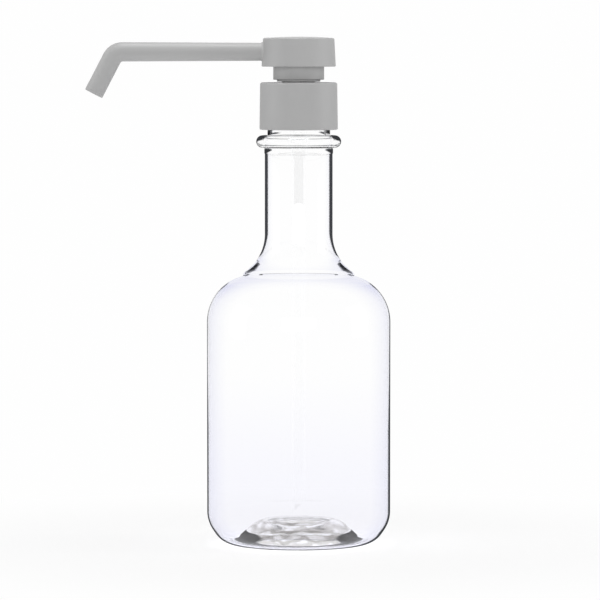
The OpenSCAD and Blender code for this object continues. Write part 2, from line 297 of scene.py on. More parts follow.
# %% [markdown]
# ## Clear blown plastic
#
# PET is as clear as glass but thin: under a millimetre on the body. A ray through the middle
# hardly bends. Near an edge it runs along inside the wall and is lost, which draws the dark outline that
# lets us read a clear bottle at all. The thicker the wall for its radius, the wider that line:
# it is wide on the neck and hair-fine on the body.
#
# The bending of light alone could draw that line, but its width would then hang on the last
# tenth of a millimetre of wall, which nobody knows. So one Principled shader with full
# transmission bends the light, and where the skin turns away from us a dark see-through shader
# takes over. We start with two small helpers, for sums and for ramps.

# %% Sums and ramps
def worked_out(nodes, links, operation, *values):
    """One Math node. A value is a number or another node's output."""
    node = nodes.new("ShaderNodeMath")
    node.operation = operation
    for socket, value in zip(node.inputs, values):
        if isinstance(value, (int, float)):
            socket.default_value = value
        else:
            links.new(value, socket)
    return node.outputs[0]


def ramp_over(nodes, links, share, stops):
    """A ramp over a share from 0 to 1. Stops are (place, grey or colour)."""
    node = nodes.new("ShaderNodeValToRGB")
    elements = node.color_ramp.elements
    while len(elements) < len(stops):
        elements.new(0.5)
    for element, (place, value) in zip(elements, stops):
        colour = value if isinstance(value, tuple) else (value,) * 3
        element.position = place
        element.color = (*colour, 1)
    links.new(share, node.inputs["Fac"])
    return node.outputs["Color"]


def multiplied(nodes, links, first, second):
    """Two colours, one laid over the other as a filter."""
    over = nodes.new("ShaderNodeMix")
    over.data_type = "RGBA"
    over.blend_type = "MULTIPLY"
    over.inputs["Factor"].default_value = 1.0
    links.new(first, over.inputs["A"])
    links.new(second, over.inputs["B"])
    return over.outputs["Result"]

# %% [markdown]
# ### The dark outline
#
# The line starts where the skin has turned by a given share away from us. That share comes from a
# ramp over the height, so each part of the bottle has its own. Further right the line starts sooner
# and is wider: this is painted shade, for the side that the light reaches less. Faces that lie flat,
# such as the step under the neck, stay clear however we look at them. Where only the skin that we
# meet first may show the line, it is taken off the skins that we see from within.

# %% How much of the line shows
line_softness = 0.07


def read_height(nodes, links, place, top):
    """How far right a point lies, and its height as a share of top."""
    split = nodes.new("ShaderNodeSeparateXYZ")
    links.new(place.outputs["Object"], split.inputs[0])
    share = nodes.new("ShaderNodeMapRange")
    share.inputs["From Max"].default_value = top * MM
    links.new(split.outputs["Z"], share.inputs["Value"])
    return split.outputs["X"], share.outputs[0]


def line_share(nodes, links, facing, start, right, painted_shade_right):
    """From 0 to 1 as the skin turns past the start of the line."""
    # Further right the line starts sooner: painted shade on the right side, where less light falls.
    begin = worked_out(nodes, links, "MULTIPLY_ADD", right, -painted_shade_right, start)
    full = worked_out(nodes, links, "ADD", begin, line_softness)
    line = nodes.new("ShaderNodeMapRange")
    line.interpolation_type = "SMOOTHSTEP"
    links.new(facing, line.inputs["Value"])
    links.new(begin, line.inputs["From Min"])
    links.new(full, line.inputs["From Max"])
    return line.outputs[0]

# %% Where the line stays away
def off_flat_faces(nodes, links, place, dark):
    """Takes the line off faces that lie flat."""
    slope = nodes.new("ShaderNodeSeparateXYZ")
    links.new(place.outputs["Normal"], slope.inputs[0])
    level = worked_out(nodes, links, "ABSOLUTE", slope.outputs["Z"])
    upright = nodes.new("ShaderNodeMapRange")
    upright.inputs["From Min"].default_value = 0.90
    upright.inputs["From Max"].default_value = 0.82
    links.new(level, upright.inputs["Value"])
    return worked_out(nodes, links, "MULTIPLY", dark, upright.outputs[0])


def on_first_skin(nodes, links, dark):
    """Takes the line off skins that are seen from within."""
    geometry = nodes.new("ShaderNodeNewGeometry")
    left = worked_out(nodes, links, "SUBTRACT", dark, geometry.outputs["Backfacing"])
    left.node.use_clamp = True
    return left

# %% [markdown]
# ### Streaks and waves
#
# Where the plastic sets thick, in the base, it folds into irregular rings. We draw them as a
# filter over the colour, from a wave of rings that a noise pushes about. The blown wall is never
# quite even either, so a slow noise moves its surface a little and the reflections waver.

# %% Streaks and waves
def streaked(nodes, links, place, colour, streak):
    """The colour seen through irregular rings round the axis."""
    flat = nodes.new("ShaderNodeMapping")
    flat.inputs["Scale"].default_value = (1, 1, 0.2)
    links.new(place.outputs["Object"], flat.inputs["Vector"])
    rings = nodes.new("ShaderNodeTexWave")
    rings.wave_type = "RINGS"
    rings.rings_direction = "Z"
    rings.inputs["Scale"].default_value = 62.0
    rings.inputs["Distortion"].default_value = 5.5
    rings.inputs["Detail"].default_value = 2.0
    rings.inputs["Detail Scale"].default_value = 1.6
    links.new(flat.outputs[0], rings.inputs["Vector"])
    streaks = ramp_over(nodes, links, rings.outputs["Fac"], [(0.10, streak), (0.55, (1, 1, 1))])
    return multiplied(nodes, links, colour, streaks)


def uneven_skin(nodes, links, place, wave):
    """A slowly wavering surface, as blowing leaves it."""
    uneven = nodes.new("ShaderNodeTexNoise")
    uneven.inputs["Scale"].default_value = 55.0
    uneven.inputs["Detail"].default_value = 1.0
    links.new(place.outputs["Object"], uneven.inputs["Vector"])
    push = nodes.new("ShaderNodeBump")
    push.inputs["Strength"].default_value = wave
    push.inputs["Distance"].default_value = 0.001
    links.new(uneven.outputs["Fac"], push.inputs["Height"])
    return push.outputs["Normal"]

# %% [markdown]
# ### The clear shader
#
# The pieces come together here. The tint deepens to a cool grey-blue as the skin turns away,
# because we then look through more plastic. Low on the body, where the floor shines in, it is a
# touch deeper still. How strongly light bends may change over the height: two neighbouring rings
# with a different bending would throw a hard dark line between them, and a ramp avoids it.
# For shadows the plastic lets nearly all the light pass, as thin clear walls do.

# %% Outline and shadow of a clear shader
def with_outline(nodes, links, body, dark, edge):
    """The clear body, its dark see-through outline and its faint shadow, as one surface."""
    rim = nodes.new("ShaderNodeBsdfTransparent")
    rim.inputs["Color"].default_value = (*edge, 1)
    outline = nodes.new("ShaderNodeMixShader")
    links.new(dark, outline.inputs["Fac"])
    links.new(body.outputs[0], outline.inputs[1])
    links.new(rim.outputs[0], outline.inputs[2])
    path = nodes.new("ShaderNodeLightPath")
    passes = nodes.new("ShaderNodeBsdfTransparent")
    passes.inputs["Color"].default_value = (0.985, 0.985, 0.99, 1)
    shade = nodes.new("ShaderNodeMixShader")
    links.new(path.outputs["Is Shadow Ray"], shade.inputs["Fac"])
    links.new(outline.outputs[0], shade.inputs[1])
    links.new(passes.outputs[0], shade.inputs[2])
    out = nodes.new("ShaderNodeOutputMaterial")
    links.new(shade.outputs[0], out.inputs["Surface"])

# %% Bending over the height
straight = 1.01


def bend_over_height(nodes, links, body, share, stops, ior):
    """Lets the bending go from nearly none to ior, by a ramp over the height."""
    bend = ramp_over(nodes, links, share, stops)
    bending = nodes.new("ShaderNodeMapRange")
    bending.inputs["To Min"].default_value = straight
    bending.inputs["To Max"].default_value = ior
    links.new(bend, bending.inputs["Value"])
    links.new(bending.outputs[0], body.inputs["IOR"])

# %% Clear shader
def clear_plastic(name, starts, tint, side, edge, top=190.0, ior=1.57, bends=None, wave=0.0,
                  low_tint=None, streak=None, painted_shade_right=0.0, first_skin_only=False,
                  flat_clear=False):
    """Clear plastic. Starts are (height in mm, facing at which the dark outline starts)."""
    material, nodes, links = new_material(name)
    place = nodes.new("ShaderNodeTexCoord")
    right, share = read_height(nodes, links, place, top)
    turned = nodes.new("ShaderNodeLayerWeight")
    turned.inputs["Blend"].default_value = 0.5
    facing = turned.outputs["Facing"]
    start = ramp_over(nodes, links, share, [(z / top, value) for z, value in starts])
    dark = line_share(nodes, links, facing, start, right, painted_shade_right)
    colour = ramp_over(nodes, links, facing, [(0.38, tint), (0.73, side)])
    if low_tint:
        pool = ramp_over(nodes, links, share, [(30.0 / top, low_tint), (72.0 / top, (1, 1, 1))])
        colour = multiplied(nodes, links, colour, pool)
    if streak:
        colour = streaked(nodes, links, place, colour, streak)
    body = nodes.new("ShaderNodeBsdfPrincipled")
    body.inputs["Transmission Weight"].default_value = 1.0
    body.inputs["IOR"].default_value = ior
    body.inputs["Roughness"].default_value = 0.0
    links.new(colour, body.inputs["Base Color"])
    if bends:
        stops = [(z / top, value) for z, value in bends]
        bend_over_height(nodes, links, body, share, stops, ior)
    if wave:
        normal = uneven_skin(nodes, links, place, wave)
        links.new(normal, body.inputs["Normal"])
        if first_skin_only:
            links.new(normal, turned.inputs["Normal"])
    if flat_clear:
        dark = off_flat_faces(nodes, links, place, dark)
    if first_skin_only:
        dark = on_first_skin(nodes, links, dark)
    with_outline(nodes, links, body, dark, edge)
    return material

# %% [markdown]
# ### Both skins of the bottle
#
# The outside skin carries the outline: its line is fine on the body, gone on the step, and wide
# on the neck, where the wall is thick for its radius. The inside skin shows a line only where it
# is seen edge on. Over the shoulder both bend the light less and less towards the step.

# %% Clear plastics of both skins
white = (1, 1, 1)
line_starts = [
    (0.0, 0.76), (12.0, 0.77), (50.0, 0.775), (70.0, 0.82), (95.0, 0.84), (108.0, 0.91),
    (112.8, 0.97), (118.6, 0.97), (120.0, 0.91), (122.0, 0.68), (131.0, 0.54), (190.0, 0.54),
]
bends = [(0.0, 1.0), (88.0, 1.0), (108.0, 0.0), (119.0, 0.0), (124.0, 1.0), (190.0, 1.0)]
wall_tint, wall_side, wall_edge = (0.999, 0.999, 1.0), (0.755, 0.765, 0.905), (0.23, 0.235, 0.25)
# The outside skin's line is wider on the right: painted shade.
bottle_pet = clear_plastic(
    "clear_bottle", line_starts, wall_tint, wall_side, wall_edge, bends=bends,
    wave=0.05, low_tint=(0.945, 0.945, 0.997), painted_shade_right=0.5,
)
inner_pet = clear_plastic(
    "clear_bottle_inside", [(0.0, 0.985), (190.0, 0.985)], white, (0.99, 0.99, 1.0),
    (0.27, 0.275, 0.29), bends=bends,
)
print("skins:", bottle_pet.name, inner_pet.name)

# %% [markdown]
# ### The step under the neck
#
# At the foot of the neck the wall thickens into a small wedge, which we see as one dark mark on
# each side. The outside skin stays clear there, and the inside skin carries the mark.

# %% Clear plastics of the step
# This line is also wider on the right: painted shade.
shoulder_pet = clear_plastic(
    "clear_bottle_shoulder", line_starts, wall_tint, (0.86, 0.865, 0.94), (0.75, 0.755, 0.82),
    ior=straight, painted_shade_right=0.5, flat_clear=True,
)
wedge_starts = [
    (0.0, 0.985), (113.1, 0.985), (113.8, 0.72), (117.8, 0.66), (118.6, 0.985), (190.0, 0.985),
]
wedge_pet = clear_plastic(
    "clear_bottle_wedge", wedge_starts, white, (0.97, 0.97, 0.99), (0.17, 0.172, 0.18),
    ior=straight, flat_clear=True,
)
print("step:", shoulder_pet.name, wedge_pet.name)

# %% [markdown]
# ### Lip, bead, mouth and thread
#
# The mouth was moulded before the bottle was blown, so it is thick and its edges are crisp. The
# bead is a solid ring: it bends the light more than the wall, and its upper side is dark. Each
# of them gets its own line, and the mouth, which stands inside the cap, hardly any.

# %% Clear plastics of the mouth
lip_pet = clear_plastic(
    "clear_bottle_lip", [(0.0, 0.62), (164.1, 0.62), (165.5, 0.34), (190.0, 0.34)], white,
    (0.95, 0.95, 0.98), (0.20, 0.205, 0.215), ior=1.06, flat_clear=True,
)
bead_starts = [
    (0.0, 0.86), (168.0, 0.82), (169.2, 0.72), (170.2, 0.46), (171.2, 0.52), (171.68, 0.86),
    (190.0, 0.86),
]
bead_pet = clear_plastic(
    "clear_bottle_bead", bead_starts, white, (0.90, 0.90, 0.92), (0.20, 0.205, 0.215), ior=1.22,
)
mouth_pet = clear_plastic(
    "clear_bottle_mouth", [(0.0, 0.95), (190.0, 0.95)], white, (0.96, 0.96, 0.98),
    (0.7, 0.7, 0.72), ior=1.04, flat_clear=True,
)
thread_pet = clear_plastic(
    "clear_bottle_thread", [(0.0, 0.48), (190.0, 0.48)], white, (0.9, 0.9, 0.9),
    (0.11, 0.112, 0.118), ior=1.06, flat_clear=True,
)
print("mouth:", lip_pet.name, bead_pet.name, mouth_pet.name, thread_pet.name)

# %% [markdown]
# ### The base
#
# The pushed-up base is the last place to cool and the least even. From the side we see its rim
# as two dark crescents, with streaky plastic between them. The underside carries streaks only,
# and the flank, the inside of the floor, carries the crescents on its lowest millimetres.

# %% Clear plastics of the base
under_pet = clear_plastic(
    "clear_base_underside", [(0.0, 0.985), (190.0, 0.985)], (0.99, 0.99, 0.998),
    (0.95, 0.95, 0.97), (0.8, 0.8, 0.82), wave=0.2, ior=1.2, streak=(0.36, 0.345, 0.32),
)
flank_starts = [
    (0.0, 0.33), (1.2, 0.34), (4.2, 0.37), (5.0, 0.45), (5.5, 0.97), (20.0, 0.97),
]
flank_pet = clear_plastic(
    "clear_base_flank", flank_starts, (0.985, 0.985, 0.995), (0.95, 0.95, 0.975),
    (0.08, 0.082, 0.088), top=20.0, wave=0.1, ior=1.2, streak=(0.50, 0.485, 0.46),
    first_skin_only=True,
)
print("base:", under_pet.name, flank_pet.name)

# %% [markdown]
# ## The bottle
#
# The real bottle is blown from one preform: thick at the mouth, which was moulded first, and thin
# where it was blown out against the mould. Its base is pushed up so that it stands on a ring and
# doesn't rock. We draw both skins in one section, outside going up and inside coming down, so
# that light passes two true surfaces and bends as it does in the real wall. The sizes are in
# millimetres, as radius and height, and each arc has its centre and its radius.

# %% Bottle sizes
body_r, wall_top = 38.5, 93.3
heel_c, heel_r = (24.8, 13.7), 13.7
foot_c, foot_r = (26.8, 9.9), 9.9
stand_in, push_up = 24.05, 9.5
skin, floor_skin, neck_skin = 0.9, 1.2, 1.5
shoulder_c, shoulder_r = (18.5, wall_top), 20.0
step_r, step_low, step_high = 23.3, 112.776, 113.976
flare_c, flare_r = (33.4, 130.304), 19.2
neck_r, neck_top = 14.2, 164.084
lip_r, lip_top = 14.4, 166.184
bead_c, bead_r = (15.225, 169.109), 2.575
finish_r, mouth_r, rim_z = 13.2, 11.0, 189.58
apart = hypot(foot_c[0] - heel_c[0], foot_c[1] - heel_c[1])
lean = atan2(foot_c[1] - heel_c[1], foot_c[0] - heel_c[0])
heel_turn = degrees(acos((heel_r - foot_r) / apart) + lean)
dome_r = (stand_in ** 2 + push_up ** 2) / (2 * push_up)
dome_c = (0.0, push_up - dome_r)
print("heel and foot meet at", round(heel_turn, 1), "degrees; dome radius", round(dome_r, 1), "mm")

# %% [markdown]
# ### Outside skin, from the base to the rim
#
# We follow the mould's surface: the dome pushed up under the base, the ring that it stands on,
# the heel in two arcs, the straight wall, the shoulder, the step, the flare, the lip, the bead
# and the mouth. Blown corners are never sharp, so each one is softened a little.

# %% Bottle, outside skin
bead_low, bead_high = bead_c[1] - bead_r, bead_c[1] + bead_r
dome_edge = degrees(atan2(-dome_c[1], stand_in))
shoulder_end = degrees(acos((step_r - shoulder_c[0]) / shoulder_r))
flare_start = 180 + degrees(acos((flare_c[0] - step_r) / flare_r))
dome_steps = 20
outside = arc(dome_c, dome_r, 90, dome_edge + 1.2, dome_steps)
outside += soft(outside[-1], (stand_in, 0), (stand_in + 2, 0), 0.8)
outside += arc(foot_c, foot_r, -90, heel_turn, 16)
outside += arc(heel_c, heel_r, heel_turn, 0, 16)
outside += [(body_r, 40.0), (body_r, 67.0)]
outside += arc(shoulder_c, shoulder_r, 0, shoulder_end - 1.0, 28)
outside += soft(outside[-1], (step_r, step_low), (step_r, step_low + 1), 0.55)
outside += soft((step_r, step_high - 1), (step_r, step_high), (step_r - 1.2, step_high + 0.72), 0.6)
outside += arc(flare_c, flare_r, flare_start - 1.6, 180, 28)
outside += soft((neck_r, neck_top - 2), (neck_r, neck_top), (lip_r, neck_top), 0.1)
outside += soft((neck_r, neck_top), (lip_r, neck_top), (lip_r, neck_top + 1), 0.1)
outside += soft((lip_r, lip_top - 1), (lip_r, lip_top), (neck_r, lip_top), 0.1)
outside += soft((neck_r, lip_top), (neck_r, bead_low), (bead_c[0], bead_low), 0.15)
outside += arc(bead_c, bead_r, -90, 90, 18)
outside += soft((bead_c[0], bead_high), (finish_r, bead_high), (finish_r, rim_z), 0.3)
outside += soft((finish_r, bead_high), (finish_r, rim_z), (mouth_r, rim_z), 0.5)
print("outside skin:", len(outside), "points")

# %% [markdown]
# ### Inside skin, from the rim to the base
#
# The inside skin comes back down at the wall's thickness. The mouth has a wall of its own, the
# flare thins out towards the shoulder, and the plastic gathers thick on the floor: its middle is
# a flat-topped hill over the dome, with a steep flank that catches the dark of the rim.

# %% Bottle, inside skin
step_in = step_r - 1.0
flare_in, thinner = flare_r + neck_skin, 0.9
shoulder_in = shoulder_r - skin
inside = soft((finish_r, rim_z), (mouth_r, rim_z), (mouth_r, bead_high), 0.4)
inside += soft((mouth_r, rim_z), (mouth_r, bead_high), (neck_r - neck_skin, bead_low), 1.5)
inside += soft((mouth_r, bead_high), (neck_r - neck_skin, bead_low), (neck_r - neck_skin, 140), 1.5)
inside += [(neck_r - neck_skin, 150.0)]
flare_end = degrees(acos((flare_c[0] - step_in) / flare_in)) - 1.2
flare_steps = 28
for i in range(flare_steps + 1):
    turn, r = radians(180 + flare_end * i / flare_steps), flare_in - thinner * i / flare_steps
    inside.append((flare_c[0] + r * cos(turn), flare_c[1] + r * sin(turn)))
inside_low = shoulder_c[1] + sqrt(shoulder_in ** 2 - (step_in - shoulder_c[0]) ** 2)
inside += soft(inside[-1], (step_in, inside[-1][1] - 0.4), (step_in, inside_low), 0.4)
inside_end = degrees(acos((step_in - shoulder_c[0]) / shoulder_in))
inside += arc(shoulder_c, shoulder_in, inside_end, 0, 28)
inside += [(body_r - skin, 67.0), (body_r - skin, 40.0)]
inside += arc(heel_c, heel_r - skin, 0, heel_turn, 12)
floor_turn = degrees(asin((floor_skin - foot_c[1]) / (foot_r - skin)))
inside += arc(foot_c, foot_r - skin, heel_turn, floor_turn, 8)
base_start = len(inside)
hill_foot, hill_brow, hill_top = (26.4, floor_skin), (17.6, 9.9), (8.0, 10.6)
inside += soft(inside[-1], hill_foot, hill_brow, 0.9)
inside += soft(hill_foot, hill_brow, hill_top, 3.5, 8)
inside += [hill_top, (4.0, 10.68), (0.0, 10.7)]
print("inside skin:", len(inside), "points")

# %% [markdown]
# ### One spun piece, nine finishes
#
# Both skins are spun as one closed section. The bottle is one material in life, but each zone
# of its wall shows light in its own way, so every face takes the clear plastic of its zone. The
# outside and the inside change over at nearly the same height: a ray that goes in through one
# finish should come out through its match.

# %% Bottle, spun
outside[0] = (0.0, outside[0][1])
inside[-1] = (0.0, inside[-1][1])
bottle_shell = spin("bottle_shell", outside + inside, closed=False, sharp=60)
finishes = [
    bottle_pet, inner_pet, wedge_pet, under_pet, flank_pet, shoulder_pet, lip_pet, bead_pet,
    mouth_pet,
]
for material in finishes:
    bottle_shell.data.materials.append(material)
print("bottle:", len(finishes), "finishes")

# %% Bottle, finish by zone
wedge_zone, step_zone, lip_zone = (109.0, 119.0), (109.5, 119.0), (neck_top, 165.6)
mouth_inside = 163.5


def finish_at(place, height):
    """The finish of a face: by its place along the section and its height in millimetres."""
    if place <= dome_steps:
        return under_pet
    if place >= len(outside) + base_start:
        return flank_pet
    if place >= len(outside):
        if height > mouth_inside:
            return mouth_pet
        return wedge_pet if wedge_zone[0] < height < wedge_zone[1] else inner_pet
    if step_zone[0] < height < step_zone[1]:
        return shoulder_pet
    if lip_zone[0] <= height < lip_zone[1]:
        return lip_pet
    if bead_low <= height <= bead_high:
        return bead_pet
    return mouth_pet if height > lip_zone[1] else bottle_pet


around = 192
for face in bottle_shell.data.polygons:
    section_place = max(0, min(face.vertices) - 1) // around + 1
    face.material_index = finishes.index(finish_at(section_place, face.center.z / MM))
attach(bottle_shell, "bottle")
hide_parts("bottle")
print("bottle faces:", len(bottle_shell.data.polygons))

# %% [markdown]
# ## Screw threads
#
# Two ridges wind round the mouth. They start opposite each other, so that the cap grips after a
# short turn, and the cap has the matching two inside. Just under the cap we see where they
# begin, one on each side. A ridge is a small trapezoid swept up a helix, and it fades out at both
# ends so that the screw can find its start. A Screw modifier makes a helix too, but not one
# that fades.

# %% Thread ridges
run_out = 0.09


def ridge(name, root, crest, z0, turns, pitch, foot=1.1, top=0.45, start=0.0, per_turn=72):
    """One helical ridge from radius root to radius crest."""
    steps = int(turns * per_turn)
    points, faces = [], []
    for i in range(steps + 1):
        a = start + 2 * pi * i / per_turn
        fade = min(1.0, i / (per_turn * run_out), (steps - i) / (per_turn * run_out))
        tall = root + (crest - root) * max(0.04, fade)
        z = z0 + pitch * i / per_turn
        for r, dz in ((root, -foot), (tall, -top), (tall, top), (root, foot)):
            points.append((r * cos(a), r * sin(a), z + dz))
    for i in range(steps):
        for j in range(4):
            n = (j + 1) % 4
            faces.append((4 * i + j, 4 * i + n, 4 * i + 4 + n, 4 * i + 4 + j))
    faces.append((3, 2, 1, 0))
    faces.append(tuple(4 * steps + j for j in range(4)))
    return add_mesh(name, points, faces, 30)

# %% Threads of the mouth and the cap
thread_pitch, thread_tall = 8.46, 0.9
mouth_thread_z, cap_thread_z = 172.75, 177.2
cap_thread_root, cap_thread_crest, cap_ahead = 14.62, 14.25, 50
mouth_threads, cap_threads = [], []
for number, first in enumerate((190, 10), 1):
    mouth_thread = ridge(
        f"mouth_thread_{number}", finish_r - 0.02, finish_r + thread_tall, mouth_thread_z, 1.0,
        thread_pitch, start=radians(first),
    )
    mouth_thread.data.materials.append(thread_pet)
    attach(mouth_thread, "bottle")
    mouth_threads.append(mouth_thread)
    cap_thread = ridge(
        f"cap_thread_{number}", cap_thread_root, cap_thread_crest, cap_thread_z, 1.0,
        thread_pitch, start=radians(first + cap_ahead),
    )
    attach(cap_thread, "cap")
    cap_threads.append(cap_thread)
print("threads:", len(mouth_threads), "on the mouth and", len(cap_threads), "in the cap")

# %% [markdown]
# ## Matte grey polypropylene
#
# Cap, collar, head and spout come from the same grey granules. Their moulds are finely blasted,
# which leaves a skin of tiny pits: it scatters the shine of the soft boxes into a wide sheen.
# A fine noise makes the pits, and a slow one lets colour and roughness drift by a hair, as they
# do where the plastic flowed.
#
# The lock collar is the same grey, painted lighter: painted light that lifts the shadow between the
# cap and the head. The working parts inside are of natural, uncoloured plastic, and the gasket is
# a soft white foam, whose pits are larger.

# %% Grey plastic shader
def moulded_plastic(name, dark, light, rough, grain=0.10, size=4200.0):
    """Matte moulded plastic between two close tones."""
    material, nodes, links = new_material(name)
    place = nodes.new("ShaderNodeTexCoord")
    flow = nodes.new("ShaderNodeTexNoise")
    flow.inputs["Scale"].default_value = 60.0
    flow.inputs["Detail"].default_value = 3.0
    links.new(place.outputs["Object"], flow.inputs["Vector"])
    tone = nodes.new("ShaderNodeValToRGB")
    tone.color_ramp.elements[0].position = 0.35
    tone.color_ramp.elements[0].color = (*dark, 1)
    tone.color_ramp.elements[1].position = 0.65
    tone.color_ramp.elements[1].color = (*light, 1)
    links.new(flow.outputs["Fac"], tone.inputs["Fac"])
    sheen = nodes.new("ShaderNodeMapRange")
    sheen.inputs["From Min"].default_value = 0.3
    sheen.inputs["From Max"].default_value = 0.7
    sheen.inputs["To Min"].default_value = rough - 0.03
    sheen.inputs["To Max"].default_value = rough + 0.03
    links.new(flow.outputs["Fac"], sheen.inputs["Value"])
    pits = nodes.new("ShaderNodeTexNoise")
    pits.inputs["Scale"].default_value = size
    pits.inputs["Detail"].default_value = 2.0
    links.new(place.outputs["Object"], pits.inputs["Vector"])
    push = nodes.new("ShaderNodeBump")
    push.inputs["Strength"].default_value = grain
    push.inputs["Distance"].default_value = 0.00008
    links.new(pits.outputs["Fac"], push.inputs["Height"])
    body = nodes.new("ShaderNodeBsdfPrincipled")
    body.inputs["IOR"].default_value = 1.49
    links.new(tone.outputs["Color"], body.inputs["Base Color"])
    links.new(sheen.outputs[0], body.inputs["Roughness"])
    links.new(push.outputs["Normal"], body.inputs["Normal"])
    out = nodes.new("ShaderNodeOutputMaterial")
    links.new(body.outputs[0], out.inputs["Surface"])
    return material

# %% Plastics of the pump
grey_matte = moulded_plastic("grey_matte", (0.375, 0.375, 0.376), (0.39, 0.39, 0.39), 0.55)
# Painted light: the collar's grey is lighter to make up for the shadow between cap and head.
painted_light_grey = moulded_plastic("pale_grey_matte", (0.50, 0.50, 0.50), (0.52, 0.52, 0.52), 0.50)
natural = moulded_plastic(
    "natural_plastic", (0.78, 0.78, 0.75), (0.83, 0.83, 0.80), 0.38, grain=0.04,
)
soft_white = moulded_plastic(
    "gasket_foam", (0.80, 0.80, 0.78), (0.86, 0.86, 0.84), 0.8, grain=0.5, size=1800.0,
)
for cap_thread in cap_threads:
    cap_thread.data.materials.append(grey_matte)
print("moulded:", grey_matte.name, painted_light_grey.name, natural.name, soft_white.name)

# %% [markdown]
# ## The cap
#
# The cap is a plain cup with a hole in its top for the pump. It is a touch narrower at the top,
# so that it slides out of its mould. Both of its edges are rounded, the upper one more, and they
# catch a thin line of light.

# %% Cap
cap_low, cap_high = 174.034, 193.884
cap_r, cap_r_top, cap_in, cap_hole, cap_roof = 16.43, 16.16, 14.6, 8.5, 191.884
cap_section = [(cap_in, cap_roof), (cap_in, cap_low + 0.4)]
cap_section += soft((cap_in, cap_low + 1), (cap_in, cap_low), (cap_in + 1, cap_low), 0.3, 3)
cap_section += soft((cap_r - 1, cap_low), (cap_r, cap_low), (cap_r - 0.01, cap_low + 1), 0.7)
top_edge, hole_edge = (cap_r_top, cap_high), (cap_hole, cap_high)
below_edge, inward = (cap_r_top + 0.01, cap_high - 1), (cap_r_top - 1.4, cap_high)
cap_section += soft(below_edge, top_edge, inward, 1.2, 7)
cap_section += soft((cap_hole + 1, cap_high), hole_edge, (cap_hole, cap_high - 1), 0.2, 3)
cap_section += [(cap_hole, cap_roof)]
smooth_cap = spin("smooth_cap", cap_section)
smooth_cap.data.materials.append(grey_matte)
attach(smooth_cap, "cap")
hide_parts("cap")
print("cap height:", round(cap_high - cap_low, 2), "mm")

# %% [markdown]
# ## The spout
#
# The spout is a thin tube pressed into the head. It thickens a little on its way out, turns down
# in one tight bend so that the drop falls clear of the bottle, and is cut off square. We lay
# rings along its middle line: straight, round the bend, straight again. The same rings come back
# inside at a smaller radius, so that the open end shows a real bore.

# %% Spout, middle line
axis_z, root_x, reach, drop = 206.634, 4.0, 85.9, 17.5
bend_angle, bend_r = radians(62.5), 5.0
root_r, bend_tube_r, tip_r = 3.76, 4.05, 4.04
tip_len = drop / sin(bend_angle)
corner_x = reach - tip_len * cos(bend_angle)
bend_len = bend_r * tan(bend_angle / 2)
bend_x = corner_x - bend_len
even_to, straight_steps, bend_steps, tip_steps, swell = 15.5, 24, 16, 10, 0.02
line = [(-x, axis_z, 0.0, root_r) for x in (root_x, even_to - 1, even_to)]
for i in range(1, straight_steps + 1):
    t = i / straight_steps
    thick = root_r + (bend_tube_r - root_r) * t
    line.append((-even_to - (bend_x - even_to) * t, axis_z, 0.0, thick))
for i in range(1, bend_steps + 1):
    a = bend_angle * i / bend_steps
    x, z = -bend_x - bend_r * sin(a), axis_z - bend_r * (1 - cos(a))
    line.append((x, z, a, bend_tube_r + swell * sin(pi * i / bend_steps)))
bend_end = line[-1]
for i in range(1, tip_steps + 1):
    t = (tip_len - bend_len) * i / tip_steps
    x, z = bend_end[0] - t * cos(bend_angle), bend_end[1] - t * sin(bend_angle)
    line.append((x, z, bend_angle, tip_r))
print("spout line:", len(line), "rings, bend starts at x =", round(-bend_x, 1))

# %% [markdown]
# ### Rings round the line
#
# A curve with a bevel would give a tube too, but only of one width and with no bore. A ring
# stands square to the line, and neighbouring rings are joined into a skin. At the cut end a few
# rings close together round the rim over, outside and inside.

# %% Rings
def tube_ring(x, z, a, r, around=64):
    """A ring square to the spout's line; a is how far the line has turned down."""
    ring = []
    for k in range(around):
        rise, side = r * cos(2 * pi * k / around), r * sin(2 * pi * k / around)
        ring.append((x - rise * sin(a), side, z + rise * cos(a)))
    return ring


def skin_rings(name, rings, sharp=40):
    """Joins rings of equal count into one closed skin, last ring back to the first."""
    around = len(rings[0])
    points = [p for ring in rings for p in ring]
    faces = []
    for i in range(len(rings)):
        j = (i + 1) % len(rings)
        for k in range(around):
            n = (k + 1) % around
            faces.append((i * around + k, i * around + n, j * around + n, j * around + k))
    return add_mesh(name, points, faces, sharp)

# %% Spout
spout_bore, bore_edge = 2.6, 0.15
x, z, a, r = line[-1]
rings = [tube_ring(*p) for p in line[:-1]]
rim = [
    (0.25, r), (0.07, r - 0.07), (0.0, r - 0.25),
    (0.0, spout_bore + bore_edge), (bore_edge, spout_bore),
]
for back, ring_r in rim:
    rings.append(tube_ring(x + back * cos(a), z + back * sin(a), a, ring_r))
rings += [tube_ring(p[0], p[1], p[2], spout_bore) for p in reversed(line[:-1])]
bent_spout = skin_rings("bent_spout", rings)
bent_spout.data.materials.append(grey_matte)
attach(bent_spout, "plunger")
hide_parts("spout_tube")
print("spout faces:", len(bent_spout.data.polygons))

# %% [markdown]
# ## Inside the pump
#
# The head, its lock collar and the working parts keep the shapes of the frame and only need their
# finish. The head and the collar are grey, the stem, the piston and its rod are natural plastic,
# and the cylinder, the dip tube and the little glass ball of the valve are clear, so they all
# but vanish in the bottle.
#
# They could be glass shaders as the bottle is. But then a ray would cross a dozen clear skins and
# run out of bounces, which leaves black spots. So these parts are mostly see-through, and a
# little more of them shows where they turn away from us.

